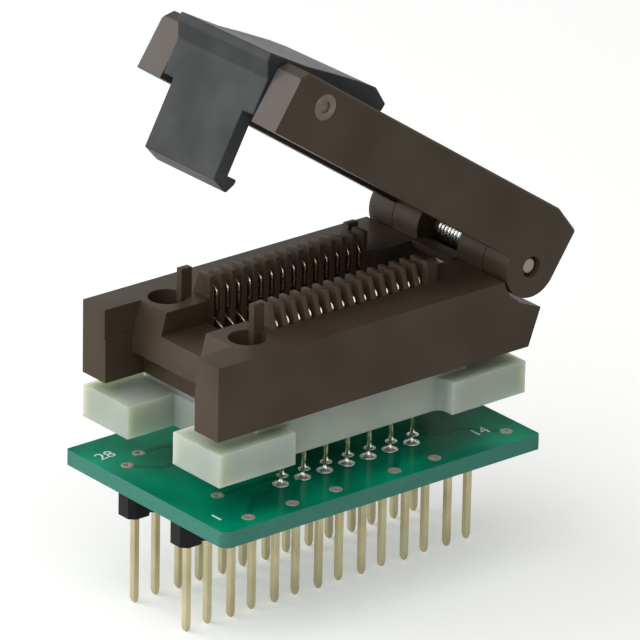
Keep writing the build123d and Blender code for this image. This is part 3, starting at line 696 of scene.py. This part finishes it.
def squarePin(low, high, look):
    # an eight-cornered ring, a square with its corners cut, carried up the pin and drawn in at the
    # tip by each row's share of the full width
    half = (high[0] - low[0]) / 2
    cut = half - look["edgeMm"] * mm
    ring = np.array([(half, -cut), (half, cut), (cut, half), (-cut, half),
                     (-half, cut), (-half, -cut), (-cut, -half), (cut, -half)])
    rows = [(low[2] + rise * mm, share) for rise, share in look["tipRows"]]
    rows = np.array(rows + [(high[2], 1.0)])
    flat = rows[:, 1][:, None, None] * ring[None] + (low[:2] + high[:2]) / 2
    height = np.broadcast_to(rows[:, 0][:, None, None], (*flat.shape[:2], 1))
    points = np.concatenate([flat, height], -1)
    return points.reshape(-1, 3), cappedFaces(len(rows), len(ring))


pinNodes = [name for name in nodes if name.startswith("header_pin")]
pinBoxes = [np.array(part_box(name)) for name in pinNodes]
points, faces = joinMeshes([squarePin(low, high, pin) for low, high in pinBoxes])
makePiece("header_pins", points, faces, goldFlashedPin, "socket", pinNodes,
          smooth=False)
print("pins drawn")


# Screen-printed pin numbers, flat on the board

silk = {"sizeMm": 1.9, "thicknessMm": 0.03,
        "marks": [("1", -17.2, -9.0), ("14", 13.2, -8.6), ("28", -17.4, 7.6), ("15", 15.2, 8.0)]}
for words, xMm, yMm in silk["marks"]:
    curve = bpy.data.curves.new("number_" + words, "FONT")
    curve.body = words
    curve.size = silk["sizeMm"] * mm
    curve.extrude = silk["thicknessMm"] / 2 * mm
    source = bpy.data.objects.new("numberSource", curve)
    bpy.context.scene.collection.objects.link(source)
    bpy.context.view_layer.update()
    evaluated = source.evaluated_get(bpy.context.evaluated_depsgraph_get())
    mesh = bpy.data.meshes.new_from_object(evaluated)
    bpy.data.objects.remove(source)
    spot = Vector((xMm * mm, yMm * mm, boardTop + silk["thicknessMm"] / 2 * mm))
    mesh.transform(Matrix.Translation(spot))
    mesh.materials.clear()
    mesh.materials.append(silkInk)
    dressPiece("pin_number_" + words, mesh, "socket")
print("numbers printed")


# Materials on the nodes that keep their solid form

finishes = {"header_strip_front": blackStripPlastic, "header_strip_rear": blackStripPlastic,
            "hinge_pin": groundSteel, "latch_pin": oxidisedSteel, "pressure_pad": blackPadPlastic}
for name, material in finishes.items():
    nodes[name].data.materials.clear()
    nodes[name].data.materials.append(material)
print("finishes on the solids")


# Floor, lamps and camera

stage = {"floor": "#F4F4F2", "floorSize": 3.0, "floorRoughness": 0.9, "whiteLift": 0.3,
         "worldStrength": 0.22, "lampAimMm": (0, 0, 25)}
lamps = {"key": ((-0.58, -0.18, 0.33), 0.6, 0.95), "fill": ((0.2, -0.62, 0.3), 0.5, 0.34),
         "top": ((-0.2, -0.12, 0.65), 0.8, 2.3), "rim": ((-0.42, 0.48, 0.24), 0.6, 3.2)}


def whiteWorld(look):
    # plain white for the camera, gloss and glass, and a weaker even light for the object
    world = bpy.data.worlds.new("studio")
    bpy.context.scene.world = world
    world.use_nodes = True
    tree = world.node_tree
    tree.nodes.clear()
    path = addNode(tree, "ShaderNodeLightPath")
    through = addNode(tree, "ShaderNodeMath", {"operation": "MAXIMUM"},
                      {0: path.outputs["Is Glossy Ray"], 1: path.outputs["Is Transmission Ray"]})
    seen = addNode(tree, "ShaderNodeMath", {"operation": "MAXIMUM"},
                   {0: path.outputs["Is Camera Ray"], 1: through.outputs[0]})
    strength = addNode(tree, "ShaderNodeMapRange",
                       {"To Min": look["worldStrength"], "To Max": 1.0}, {"Value": seen.outputs[0]})
    light = addNode(tree, "ShaderNodeBackground", {"Color": (1, 1, 1, 1)},
                    {"Strength": strength.outputs["Result"]})
    addNode(tree, "ShaderNodeOutputWorld", links={"Surface": light.outputs["Background"]})


def paperSweep(look):
    # white paper: the camera and the gloss see it lifted to full white, and its shadows stay
    material, tree = startMaterial("paperSweep")
    rays = addNode(tree, "ShaderNodeLightPath")
    seen = addNode(tree, "ShaderNodeMath", {"operation": "MAXIMUM"},
                   {0: rays.outputs["Is Camera Ray"], 1: rays.outputs["Is Glossy Ray"]})
    lift = addNode(tree, "ShaderNodeMath", {"operation": "MULTIPLY", 1: look["whiteLift"]},
                   {0: seen.outputs[0]})
    surface = addNode(tree, "ShaderNodeBsdfPrincipled",
                      {"Base Color": srgb(look["floor"]), "Roughness": look["floorRoughness"],
                       "Emission Color": (1, 1, 1, 1)}, {"Emission Strength": lift.outputs[0]})
    finishMaterial(tree, surface)
    return material


whiteWorld(stage)
half = stage["floorSize"] / 2
floorMesh = bpy.data.meshes.new("floor")
floorMesh.from_pydata([(-half, -half, 0), (half, -half, 0), (half, half, 0), (-half, half, 0)],
                      [], [(0, 1, 2, 3)])
floorMesh.materials.append(paperSweep(stage))
floor = bpy.data.objects.new("floor", floorMesh)
bpy.context.scene.collection.objects.link(floor)

lampAim = Vector(stage["lampAimMm"]) * mm
for name, (spot, size, power) in lamps.items():
    lamp = bpy.data.lights.new(name, "AREA")
    lamp.shape = "SQUARE"
    lamp.size = size
    lamp.energy = power
    holder = bpy.data.objects.new(name, lamp)
    holder.location = spot
    holder.rotation_euler = (lampAim - Vector(spot)).to_track_quat("-Z", "Y").to_euler()
    bpy.context.scene.collection.objects.link(holder)

# The camera stands where the photograph's did, found from the pin rows
view = {"azimuth": -39.443, "elevation": 23.051, "roll": 1.089, "targetMm": (4.101, 3.035, 22.751),
        "distanceMm": 656.38, "focalPixels": 7214.6, "framePixels": 640, "sensorMm": 36,
        "nearMm": 10}
azimuth, elevation, roll = (radians(view[angle]) for angle in ("azimuth", "elevation", "roll"))
back = Vector((sin(azimuth) * cos(elevation), -cos(azimuth) * cos(elevation), sin(elevation)))
right = Vector((cos(azimuth), sin(azimuth), 0))
up = back.cross(right)
rolledRight = cos(roll) * right + sin(roll) * up
rolledUp = -sin(roll) * right + cos(roll) * up
cameraData = bpy.data.cameras.new("camera")
cameraData.sensor_width = view["sensorMm"]
cameraData.lens = view["sensorMm"] * view["focalPixels"] / view["framePixels"]
cameraData.clip_start = view["nearMm"] * mm
camera = bpy.data.objects.new("camera", cameraData)
axes = Matrix((rolledRight, rolledUp, back)).transposed().to_4x4()
cameraSpot = (Vector(view["targetMm"]) + back * view["distanceMm"]) * mm
camera.matrix_world = Matrix.Translation(cameraSpot) @ axes
bpy.context.scene.collection.objects.link(camera)
bpy.context.scene.camera = camera
bpy.context.scene.view_settings.view_transform = "Standard"
print("stage set")
